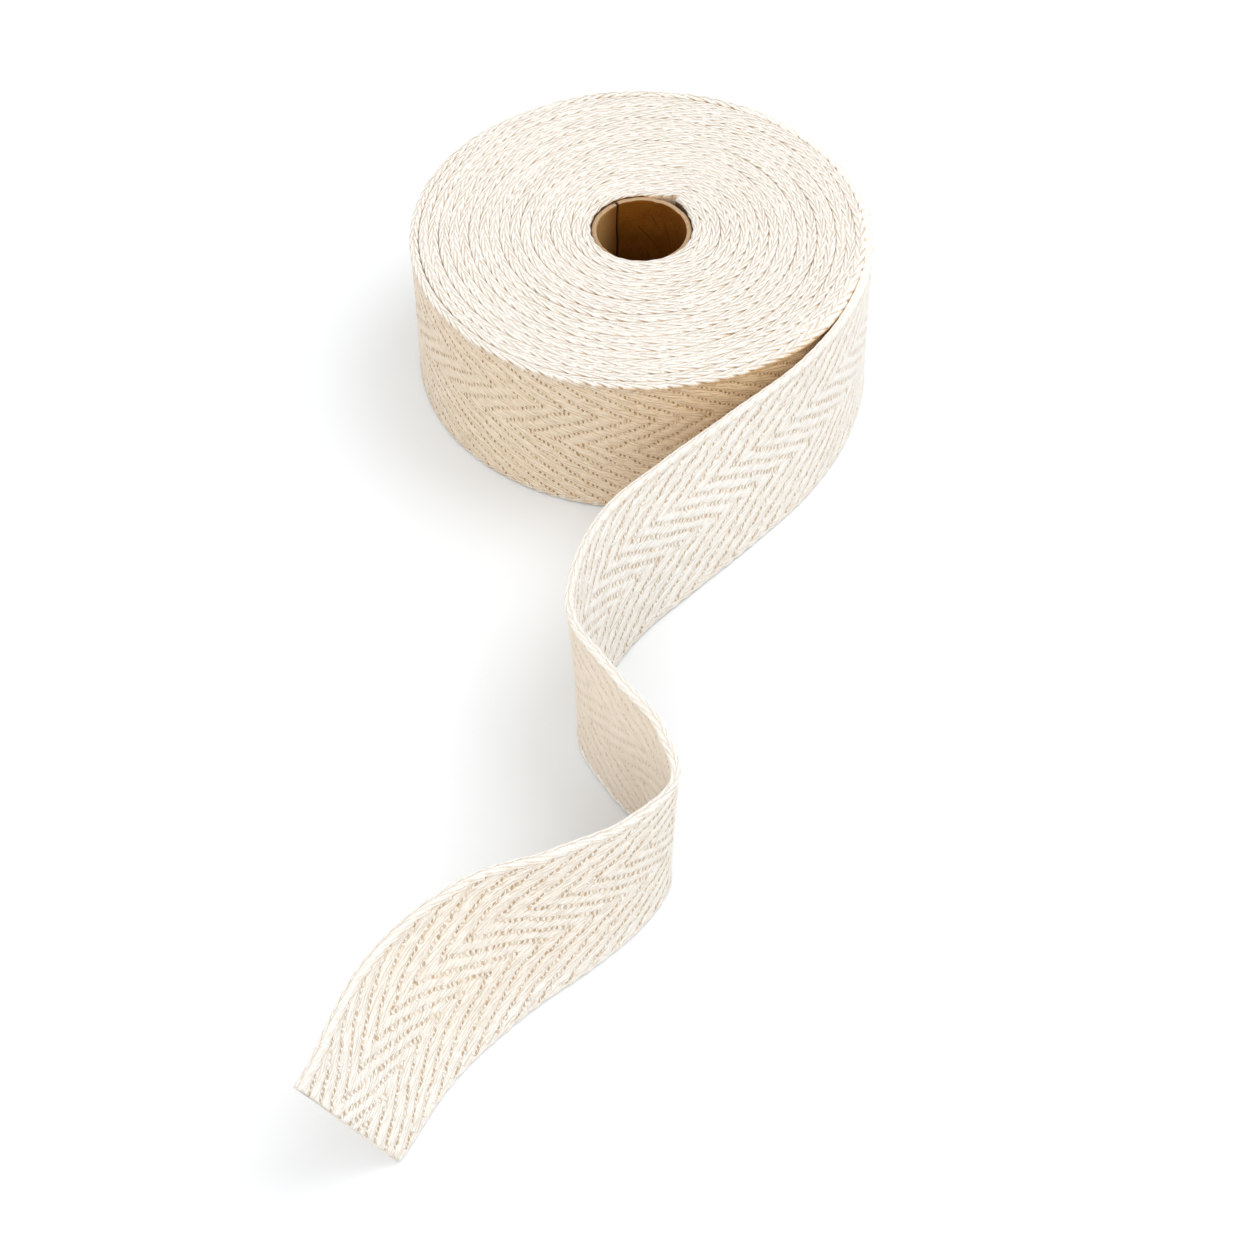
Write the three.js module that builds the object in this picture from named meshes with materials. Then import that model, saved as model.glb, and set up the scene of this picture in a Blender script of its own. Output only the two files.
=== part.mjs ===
// A roll of 50 mm herringbone cotton webbing, wound flat on a cardboard core.
// The outer turn leaves the roll on its right side and runs on across the
// surface, standing on its edge in an S, to a square cut end.
//
// Millimetres, +Z up. Everything is drawn about the roll's own axis, on the
// surface z = 0, and moved at the end so that the origin is the middle of the
// underside of the whole outline.

import * as THREE from 'three';

// ---- webbing ----
const WEB_WIDTH = 50;            // selvedge to selvedge: the roll's height
const WEB_THICK = 2.2;           // the solid's thickness, the pressed cloth's
const EDGE_CHAMFER = 0.6;        // eased upper edge of the loose end

// ---- roll ----
const LEAVE_DEG = 8;             // where the outer turn leaves the roll
const LEAVE_R = 69.0;            // middle of the outer turn's thickness there
const OUTER_PITCH = 2.7;         // how far the outer turn comes in over one lap
const LAP_FROM = 0.72;           // most of that happens where the turns pass
const LAP_TO = 0.90;             //   under the loose end, as a share of a lap
const LAP_SHARE = 0.75;
const HOLE_R = 15.7;             // inner turn's clear radius
const CORE_X = 0.2;              // the core sits a little behind the middle
const CORE_Y = 1.4;              //   of the outer turn
const OUTLINE_STEPS = 132;
const HOLE_STEPS = 72;

// ---- core ----
const CORE_R = 15.3;
const CORE_WALL = 1.6;
const CORE_HEIGHT = 48.5;        // its rim stands 1.5 mm below the webbing
const SEAM_DEG = 122.5;          // the card's butt seam, seen from the middle
const SEAM_WIDTH = 0.6;
const SEAM_DEPTH = 0.9;
const CORE_STEPS = 84;

// ---- loose end ----
// One row every 25 mm or so along the edge that stands on the surface, from
// the roll to the cut end: where the middle of the edge is, how far the
// webbing leans away from upright to the side that faced the roll's axis, and
// how far its cross line tips forward along the webbing, both in degrees.
const LOOSE_END = [
  { x:  64.0, y:   25.9, lean:  0.0, tip:  0.0 },
  { x:  68.4, y:    9.6, lean:  0.0, tip:  0.0 },
  { x:  68.9, y:  -15.4, lean:  1.3, tip:  0.7 },
  { x:  62.2, y:  -40.4, lean:  4.1, tip:  2.1 },
  { x:  49.4, y:  -63.4, lean:  7.0, tip:  3.8 },
  { x:  32.7, y:  -83.3, lean:  9.7, tip:  5.6 },
  { x:  15.1, y: -101.9, lean: 10.7, tip:  7.0 },
  { x:  -1.3, y: -120.0, lean: 10.0, tip:  7.5 },
  { x: -12.3, y: -139.7, lean:  5.5, tip:  6.8 },
  { x: -16.7, y: -157.4, lean: -0.1, tip:  4.1 },
  { x:  -8.2, y: -175.2, lean: -1.4, tip:  4.7 },
  { x:   2.5, y: -190.0, lean:  0.0, tip:  6.1 },
  { x:   6.1, y: -204.5, lean: -1.1, tip:  7.1 },
  { x:  -0.9, y: -217.9, lean:  1.8, tip:  7.7 },
  { x: -13.2, y: -230.3, lean:  8.5, tip:  9.2 },
  { x: -29.4, y: -244.0, lean: 18.5, tip: 11.0 },
  { x: -46.2, y: -262.3, lean: 19.7, tip: 14.0 },
  { x: -58.6, y: -284.6, lean: 15.3, tip: 17.3 },
];
const LEAVE_ROW = 1;             // the row where the loose end begins
const JOIN_GAP = 0.3;            // between the roll's step and the loose end
const SECTIONS_PER_ROW = 6;

const rad = THREE.MathUtils.degToRad;
const ease = (v) => { const t = Math.min(1, Math.max(0, v)); return t * t * (3 - 2 * t); };

// Middle of the outer turn's thickness, at a share of a lap inward from where
// it leaves, going counter-clockwise from above.
function outerTurnRadius(lap) {
  const drop = (1 - LAP_SHARE) * lap + LAP_SHARE * ease((lap - LAP_FROM) / (LAP_TO - LAP_FROM));
  return LEAVE_R - OUTER_PITCH * drop;
}

function circlePath(cx, cy, r, steps) {
  const path = new THREE.Path();
  for (let i = 0; i <= steps; i++) {
    const a = -2 * Math.PI * i / steps;
    const x = cx + r * Math.cos(a), y = cy + r * Math.sin(a);
    if (i === 0) path.moveTo(x, y);
    else if (i === steps) path.closePath();
    else path.lineTo(x, y);
  }
  return path;
}

// The wound turns as one solid: a spiral outline with the step that the loose
// end leaves from, and the hole for the core.
function woundGeometry() {
  const outline = new THREE.Shape();
  for (let i = 0; i <= OUTLINE_STEPS; i++) {
    const lap = i / OUTLINE_STEPS;
    const r = outerTurnRadius(lap) + WEB_THICK / 2;
    const a = rad(LEAVE_DEG) + 2 * Math.PI * lap;
    if (i === 0) outline.moveTo(r * Math.cos(a), r * Math.sin(a));
    else outline.lineTo(r * Math.cos(a), r * Math.sin(a));
  }
  outline.closePath();
  outline.holes.push(circlePath(CORE_X, CORE_Y, HOLE_R, HOLE_STEPS));
  return new THREE.ExtrudeGeometry(outline, { depth: WEB_WIDTH, bevelEnabled: false, curveSegments: 1 });
}

// A tube of card with a narrow butt seam down its inside.
function coreGeometry() {
  const outline = new THREE.Shape();
  for (let i = 0; i < CORE_STEPS; i++) {
    const a = 2 * Math.PI * i / CORE_STEPS;
    const x = CORE_R * Math.cos(a), y = CORE_R * Math.sin(a);
    if (i === 0) outline.moveTo(x, y); else outline.lineTo(x, y);
  }
  outline.closePath();
  const inner = CORE_R - CORE_WALL;
  const half = SEAM_WIDTH / 2 / inner;
  const seam = rad(SEAM_DEG);
  const bore = new THREE.Path();
  const deep = inner + SEAM_DEPTH;
  bore.moveTo(inner * Math.cos(seam + half), inner * Math.sin(seam + half));
  bore.lineTo(deep * Math.cos(seam + half), deep * Math.sin(seam + half));
  bore.lineTo(deep * Math.cos(seam - half), deep * Math.sin(seam - half));
  for (let i = 0; i < CORE_STEPS; i++) {
    const a = seam - half - (2 * Math.PI - 2 * half) * i / CORE_STEPS;
    bore.lineTo(inner * Math.cos(a), inner * Math.sin(a));
  }
  bore.closePath();
  outline.holes.push(bore);
  return new THREE.ExtrudeGeometry(outline, { depth: CORE_HEIGHT, bevelEnabled: false, curveSegments: 1 });
}

// A smooth curve through one column of the loose end's table.
function along(column, u) {
  const rows = LOOSE_END, last = rows.length - 1;
  const at = (i) => {
    if (i < 0) return 2 * rows[0][column] - rows[1][column];
    if (i > last) return 2 * rows[last][column] - rows[last - 1][column];
    return rows[i][column];
  };
  const i = Math.min(Math.floor(u), last - 1), f = u - i;
  const a = at(i - 1), b = at(i), c = at(i + 1), d = at(i + 2);
  return 0.5 * (2 * b + (c - a) * f + (2 * a - 5 * b + 4 * c - d) * f * f + (3 * b - a - 3 * c + d) * f ** 3);
}

// The six corners of the loose end's section at a place along the table.
function looseSection(u) {
  const du = 1e-3;
  const foot = new THREE.Vector3(along('x', u), along('y', u), 0);
  const run = new THREE.Vector3(along('x', u + du) - along('x', u - du), along('y', u + du) - along('y', u - du), 0).normalize();
  const side = new THREE.Vector3(run.y, -run.x, 0);
  const lean = Math.sin(rad(along('lean', u))), tip = Math.sin(rad(along('tip', u)));
  const rise = side.clone().multiplyScalar(lean).addScaledVector(run, tip);
  rise.z = Math.sqrt(1 - rise.lengthSq());
  const face = rise.clone().cross(run).normalize();
  const corner = (d, w) => foot.clone().addScaledVector(face, d).addScaledVector(rise, w);
  const half = WEB_THICK / 2;
  // both lower corners lie on the surface, so the edge stands flat
  const down = (d) => -d * face.z / rise.z;
  return [
    corner(half, down(half)), corner(half, WEB_WIDTH - EDGE_CHAMFER), corner(half - EDGE_CHAMFER, WEB_WIDTH),
    corner(-half + EDGE_CHAMFER, WEB_WIDTH), corner(-half, WEB_WIDTH - EDGE_CHAMFER), corner(-half, down(-half)),
  ];
}

function looseEndGeometry() {
  const last = LOOSE_END.length - 1;
  const firstRow = Math.hypot(LOOSE_END[2].x - LOOSE_END[1].x, LOOSE_END[2].y - LOOSE_END[1].y);
  const start = LEAVE_ROW + JOIN_GAP / firstRow;
  const count = (last - LEAVE_ROW) * SECTIONS_PER_ROW;
  const points = [], index = [];
  for (let i = 0; i <= count; i++) {
    const u = start + (last - start) * i / count;
    for (const p of looseSection(u)) points.push(p.x, p.y, Math.max(0, p.z));
  }
  const n = 6;
  for (let i = 0; i < count; i++) {
    for (let k = 0; k < n; k++) {
      const a = i * n + k, b = i * n + (k + 1) % n, c = a + n, d = b + n;
      index.push(a, b, c, b, d, c);
    }
  }
  const cap = (base, flip) => {
    for (let k = 1; k < n - 1; k++) {
      if (flip) index.push(base, base + k + 1, base + k);
      else index.push(base, base + k, base + k + 1);
    }
  };
  cap(0, true);
  cap(count * n, false);
  const geometry = new THREE.BufferGeometry();
  geometry.setAttribute('position', new THREE.Float32BufferAttribute(points, 3));
  geometry.setIndex(index);
  // turn every face outward
  let volume = 0;
  for (let i = 0; i < index.length; i += 3) {
    const [a, b, c] = [0, 1, 2].map((k) => new THREE.Vector3().fromArray(points, index[i + k] * 3));
    volume += a.dot(b.cross(c)) / 6;
  }
  if (volume < 0) {
    for (let i = 0; i < index.length; i += 3) [index[i + 1], index[i + 2]] = [index[i + 2], index[i + 1]];
    geometry.setIndex(index);
  }
  geometry.computeVertexNormals();
  return geometry;
}

const cotton = (colour) => new THREE.MeshStandardMaterial({ color: colour, roughness: 0.95, metalness: 0 });
const card = new THREE.MeshStandardMaterial({ color: 0x9c6f42, roughness: 0.88, metalness: 0 });

const roll = new THREE.Group();

const wound = new THREE.Mesh(woundGeometry(), cotton(0xeee6d8));
wound.name = 'webbing_wound';
roll.add(wound);

const loose = new THREE.Mesh(looseEndGeometry(), cotton(0xf1eadd));
loose.name = 'webbing_loose_end';
roll.add(loose);

const core = new THREE.Mesh(coreGeometry(), card);
core.name = 'core_tube';
core.position.set(CORE_X, CORE_Y, 0);
roll.add(core);

// Origin at the middle of the underside of the whole outline.
roll.updateMatrixWorld(true);
const bounds = new THREE.Box3().setFromObject(roll, true);
roll.position.set(-(bounds.min.x + bounds.max.x) / 2, -(bounds.min.y + bounds.max.y) / 2, -bounds.min.z);

const part = new THREE.Group();
part.add(roll);
part.updateMatrixWorld(true);

export default part;
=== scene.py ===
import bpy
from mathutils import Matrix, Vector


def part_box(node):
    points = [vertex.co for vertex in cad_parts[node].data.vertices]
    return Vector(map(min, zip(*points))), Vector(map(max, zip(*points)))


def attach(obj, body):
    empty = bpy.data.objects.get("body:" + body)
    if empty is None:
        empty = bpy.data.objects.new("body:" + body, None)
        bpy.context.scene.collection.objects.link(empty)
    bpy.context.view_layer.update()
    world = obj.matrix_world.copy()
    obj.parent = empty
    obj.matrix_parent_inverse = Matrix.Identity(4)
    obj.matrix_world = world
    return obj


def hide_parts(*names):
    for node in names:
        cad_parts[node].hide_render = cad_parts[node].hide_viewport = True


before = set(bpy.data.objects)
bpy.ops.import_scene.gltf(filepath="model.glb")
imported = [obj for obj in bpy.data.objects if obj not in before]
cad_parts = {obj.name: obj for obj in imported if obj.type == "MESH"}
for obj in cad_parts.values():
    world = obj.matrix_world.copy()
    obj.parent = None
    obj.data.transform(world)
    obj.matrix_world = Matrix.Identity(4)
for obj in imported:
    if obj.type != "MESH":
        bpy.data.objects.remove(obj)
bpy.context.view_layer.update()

import math

import bpy
import numpy as np

MM = 0.001

# ---- the CAD's own numbers ----
WEB_WIDTH = 50.0
LEAVE_DEG = 8.0
LEAVE_R = 69.0
LAP_FROM, LAP_TO = 0.72, 0.90
CORE_X, CORE_Y = 0.2, 1.4
CORE_R, CORE_WALL, CORE_HEIGHT = 15.3, 1.6, 48.5
SEAM_DEG = 122.5
RIM_Z = 48.2                              # the card's visible rim, a little worn down
CREASES = [                               # in the card: from x, y to x, y, and width
    (75.2, 42.8, 72.4, 37.7, 0.22), (79.3, 38.6, 72.4, 30.4, 0.26), (72.4, 30.4, 69.5, 25.0, 0.26),
    (71.0, 41.0, 67.1, 30.0, 0.22), (68.6, 44.0, 63.1, 37.0, 0.20), (77.1, 30.0, 73.6, 22.0, 0.20),
    (14.0, 40.0, 18.0, 33.0, 0.20), (66.1, 34.0, 60.1, 22.0, 0.22), (6.0, 20.0, 12.0, 9.0, 0.22),
]
# the edge that stands on the surface: x, y, lean and tip in degrees
LOOSE_END = np.array([
    (64.0, 25.9, 0.0, 0.0), (68.4, 9.6, 0.0, 0.0), (68.9, -15.4, 1.3, 0.7),
    (62.2, -40.4, 4.1, 2.1), (49.4, -63.4, 7.0, 3.8), (32.7, -83.3, 9.7, 5.6),
    (15.1, -101.9, 10.7, 7.0), (-1.3, -120.0, 10.0, 7.5), (-12.3, -139.7, 5.5, 6.8),
    (-16.7, -157.4, -0.1, 4.1), (-8.2, -175.2, -1.4, 4.7), (2.5, -190.0, 0.0, 6.1),
    (6.1, -204.5, -1.1, 7.1), (-0.9, -217.9, 1.8, 7.7), (-13.2, -230.3, 8.5, 9.2),
    (-29.4, -244.0, 18.5, 11.0), (-46.2, -262.3, 19.7, 14.0), (-58.6, -284.6, 15.3, 17.3),
])

# ---- the visible cloth ----
PITCHES = [2.7, 2.8, 3.1] + [2.91] * 17   # how far each lap comes in
LAPS = 18.12                              # laps wound on the core
NOOK_FROM, NOOK_TO = 0.825, 0.92          # where the outer turn passes under the loose end
END_FROM, END_TO = 0.125, 0.20            # where the laps step over the inner end
SPLIT_LAP = 8.5                           # the inner laps are two meshes
HALF_BODY = 0.95                          # half the cloth's thickness
HALF_EDGE = 1.18                          # and half its thicker selvedge's
EDGE_RISE = 0.85                          # height of the rounded edge
STITCH = 4.7                              # edge stitch, along the webbing
FINE_STITCH, FINE_SLANT = 4.8, 7.4         # and as it shows on the pressed turns
FALL = 4.0                                # how far it runs on for each mm down the face
SELVEDGE = 3.6                            # width of the thicker selvedge
RIB_W, RIB_S = 4.5, 8.2                   # the ribs' repeat across and along
TURN_S = -95.0                            # where they reverse at the back of the roll
BEND_S = 190.0                            # and the stitches at the loose end's bend

core_lo, core_hi = (np.array(c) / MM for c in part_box("core_tube"))
SHIFT = np.array([(core_lo[0] + core_hi[0]) / 2 - CORE_X, (core_lo[1] + core_hi[1]) / 2 - CORE_Y, 0.0])


def ease(t):
    t = np.clip(t, 0.0, 1.0)
    return t * t * (3 - 2 * t)


def step(a, b, x):
    return ease((x - a) / (b - a))


def noise(x, period, seed):
    """Smooth noise in -1..1 along x."""
    table = np.random.RandomState(seed).uniform(-1, 1, 4096)
    x = np.asarray(x, float) / period + 512.37
    i = np.floor(x).astype(int)
    f = ease(x - i)
    return table[i % 4096] * (1 - f) + table[(i + 1) % 4096] * f


def dice(i, seed):
    """A number in 0..1 for each whole number."""
    table = np.random.RandomState(seed).uniform(0, 1, 8192)
    return table[np.asarray(i).astype(int) % 8192]


# ---------------------------------------------------------------- the paths
def radius(lap):
    """Radius of the middle of the cloth's thickness, laps inward from where it leaves."""
    lap = np.asarray(lap, float)
    starts = LEAVE_R - np.concatenate([[0.0], np.cumsum(PITCHES)])
    k = np.clip(np.floor(lap), 0, len(PITCHES) - 1).astype(int)
    f = lap - k
    share = np.clip(0.75 - 0.10 * np.maximum(0, k - 1), 0, 1)
    over = np.clip(1.0 - 0.11 * (17 - k), 0, 1)
    # the outer turn comes in late, in the nook beside the loose end
    first, last = np.where(k == 0, NOOK_FROM, LAP_FROM), np.where(k == 0, NOOK_TO, LAP_TO)
    fall = share * ease((f - first) / (last - first)) + over * ease((f - END_FROM) / (END_TO - END_FROM))
    return starts[k] - np.array(PITCHES)[k] * ((1 - share - over) * f + fall)


def spiral(lap):
    r = radius(lap)
    a = math.radians(LEAVE_DEG) + 2 * math.pi * lap
    off = np.clip(lap / LAPS, 0, 1)
    return np.stack([CORE_X * off + r * np.cos(a), CORE_Y * off + r * np.sin(a)], -1)


def spiral_table():
    lap = np.linspace(-0.01, LAPS + 0.01, 40001)
    xy = spiral(lap)
    d = np.hypot(*np.diff(xy, axis=0).T)
    s = -np.concatenate([[0.0], np.cumsum(d)])
    s -= np.interp(0.0, lap, s)
    run = -np.gradient(xy, axis=0)
    run /= np.linalg.norm(run, axis=1)[:, None]
    # in rising order of s, which grows toward the cut end
    return lap[::-1], s[::-1], xy[::-1], run[::-1]


SP_LAP, SP_S, SP_XY, SP_RUN = spiral_table()


def lap_to_s(lap):
    return float(np.interp(lap, SP_LAP[::-1], SP_S[::-1]))


def wound_at(s):
    """Foot, rise and outer-face normal of the wound webbing at s."""
    xy = np.stack([np.interp(s, SP_S, SP_XY[:, i]) for i in (0, 1)], -1)
    run = np.stack([np.interp(s, SP_S, SP_RUN[:, i]) for i in (0, 1)], -1)
    run /= np.linalg.norm(run, axis=-1)[..., None]
    zero = np.zeros(xy.shape[:-1] + (1,))
    foot = np.concatenate([xy, zero], -1)
    face = np.concatenate([-run[..., 1:2], run[..., 0:1], zero], -1)
    rise = np.zeros_like(foot)
    rise[..., 2] = 1
    return foot, rise, face


def along(column, u):
    rows = LOOSE_END[:, column]
    rows = np.concatenate([[2 * rows[0] - rows[1]], rows, [2 * rows[-1] - rows[-2]] * 2])
    i = np.clip(np.floor(u).astype(int), 0, len(LOOSE_END) - 2)
    f = u - i
    a, b, c, d = rows[i], rows[i + 1], rows[i + 2], rows[i + 3]
    return 0.5 * (2 * b + (c - a) * f + (2 * a - 5 * b + 4 * c - d) * f * f + (3 * b - a - 3 * c + d) * f ** 3)


def loose_table():
    u = np.linspace(1.0, len(LOOSE_END) - 1.0, 8001)
    du = 1e-3
    foot = np.stack([along(0, u), along(1, u), np.zeros_like(u)], -1)
    run = np.stack([along(0, u + du) - along(0, u - du), along(1, u + du) - along(1, u - du), np.zeros_like(u)], -1)
    run /= np.linalg.norm(run, axis=1)[:, None]
    side = np.stack([run[:, 1], -run[:, 0], np.zeros_like(u)], -1)
    lean, tip = np.sin(np.radians(along(2, u))), np.sin(np.radians(along(3, u)))
    rise = side * lean[:, None] + run * tip[:, None]
    rise[:, 2] = np.sqrt(1 - (rise ** 2).sum(1))
    face = np.cross(rise, run)
    face /= np.linalg.norm(face, axis=1)[:, None]
    mid = foot + rise * WEB_WIDTH / 2
    s = np.concatenate([[0.0], np.cumsum(np.linalg.norm(np.diff(mid, axis=0), axis=1))])
    return s, foot, rise, face


LE_S, LE_FOOT, LE_RISE, LE_FACE = loose_table()
LOOSE_LENGTH = float(LE_S[-1])


def loose_at(s):
    out = []
    for table in (LE_FOOT, LE_RISE, LE_FACE):
        out.append(np.stack([np.interp(s, LE_S, table[:, i]) for i in range(3)], -1))
    foot, rise, face = out
    rise /= np.linalg.norm(rise, axis=-1)[..., None]
    face /= np.linalg.norm(face, axis=-1)[..., None]
    return foot, rise, face


# ------------------------------------------------------- the cloth's relief
def apex(s):
    """Heights where the ribs turn. They lie higher on the wound turn."""
    back = step(-30.0, -190.0, s)
    return 20.0 + 4.6 * back, 33.5 + 3.0 * back


def rib_phase(s, w, true_s):
    """Whole numbers fall on the sunk rows between the ribs."""
    low, high = apex(true_s)
    w = w + 0.30 * noise(s, 3.1, 5) + 0.25 * noise(s, 11.0, 6) + 0.22 * noise(w, 2.3, 7)
    g = (w - low) - 2 * np.maximum(0, w - low) + 2 * np.maximum(0, w - high)
    return (s * RIB_W / RIB_S + g + 0.35 * noise(s + 1.7 * w, 19.0, 8)) / RIB_W


def ribs(p):
    """Height in mm and depth 0..1 of the ribs on a face."""
    k = np.round(p)
    f = p - k
    width = 0.19 + 0.04 * (dice(k, 11) - 0.5)
    sunk = np.exp(-(np.abs(f) / width) ** 2.4)
    return -0.17 * sunk - 0.06 * np.cos(2 * np.pi * f), sunk


def pits_along(s):
    """Number of the sunk rows' pits up to s: closer on the loose end."""
    x = np.linspace(-460.0, 460.0, 4601)
    rate = 4.0 + 2.0 * step(-70.0, -20.0, x)
    total = np.concatenate([[0.0], np.cumsum((rate[1:] + rate[:-1]) / 2 * np.diff(x))]) / RIB_S
    return np.interp(s, x, total)


def slant(s):
    """How far an edge stitch runs on from the middle to the side."""
    return 5.8 - 2.4 * step(-70.0, -30.0, s) * step(120.0, 80.0, s)


def stitch_phase(s, v, drop, wound, fine=False):
    """Phase of the edge's stitches, two columns that lean apart from the
    middle; the column's half-stitch offset is not in it."""
    mirrored = 2 * TURN_S - s if wound else 2 * BEND_S - s
    run = np.where((s < TURN_S) if wound else (s > BEND_S), mirrored, s)
    wob = 0.9 * noise(s, 12.0, 31) + 0.5 * noise(s, 4.3, 32)
    if fine:
        return (run + 1.5 * wob - FINE_SLANT * abs(v)) / FINE_STITCH
    return (run + wob - slant(s) * abs(v) - FALL * drop) / STITCH


def strand(p, column):
    """Rounded height 0..1 of a stitch and how deep its sides lie, 0..1."""
    k = np.floor(p)
    b = np.sin(np.pi * (p - k)) ** 0.55
    b = b * (0.80 + 0.30 * dice(k * 2 + column, 41))
    return b, np.clip((0.5 - b) / 0.5, 0, 1)


def edge_halves(s, wound):
    """Half thicknesses of the edge, outward and inward: the wound turns meet."""
    if not wound:
        near = step(40.0, 0.0, s)
        return np.full(np.shape(s), HALF_EDGE), HALF_EDGE + 0.18 * near + 0.25 * step(5.0, 20.0, s) * step(55.0, 40.0, s)
    lap = np.interp(s, SP_S, SP_LAP)
    r = radius(lap)
    out = np.where(lap < 1.0, HALF_EDGE, (radius(np.maximum(lap - 1, 0)) - r) / 2 + 0.03)
    out = np.maximum(out, np.interp(lap, [0.78, 0.82, 0.85, 0.87, 0.89, 0.905, 0.92, 0.95, 1.0, 1.05], [0.0, 1.3, 2.0, 2.5, 2.5, 2.25, 2.1, 2.0, 1.55, 0.0]))
    last = 0.25 + (1.0 + 0.16 * np.cos(2 * np.pi * s / 4.9)) * step(LAPS, LAPS - 0.10, lap)
    inward = np.where(lap > LAPS - 1, last, (r - radius(np.minimum(lap + 1, LAPS))) / 2 + 0.03)
    return out, inward


def section(kind):
    """Rows round the webbing's section: the part, its height w and its place v
    across the edge, from the outer face +1 to the inner face -1."""
    lo, hi = EDGE_RISE, WEB_WIDTH - EDGE_RISE
    if kind == "fine":
        outer = np.concatenate([np.linspace(lo, 5.2, 12)[:-1], np.linspace(5.2, 44.8, 52)[:-1], np.linspace(44.8, hi, 12)])
        inner, top, bottom = outer[::-1], 11, 7
    elif kind == "outer":
        outer = np.concatenate([np.linspace(lo, 5.2, 12)[:-1], np.linspace(5.2, 44.8, 60)[:-1], np.linspace(44.8, hi, 13)])
        inner, top, bottom = np.array([hi, 47.0, 3.0, lo]), 13, 7
    else:
        outer, inner, top, bottom = np.array([lo, hi]), np.array([hi, lo]), 13, 5
    rows = [("outer", w, 1.0) for w in outer]
    rows += [("top", hi, v) for v in np.cos(np.linspace(0, np.pi, top + 2))[1:-1]]
    rows += [("inner", w, -1.0) for w in inner]
    rows += [("bottom", lo, v) for v in -np.cos(np.linspace(0, np.pi, bottom + 2))[1:-1]]
    return rows


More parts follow.
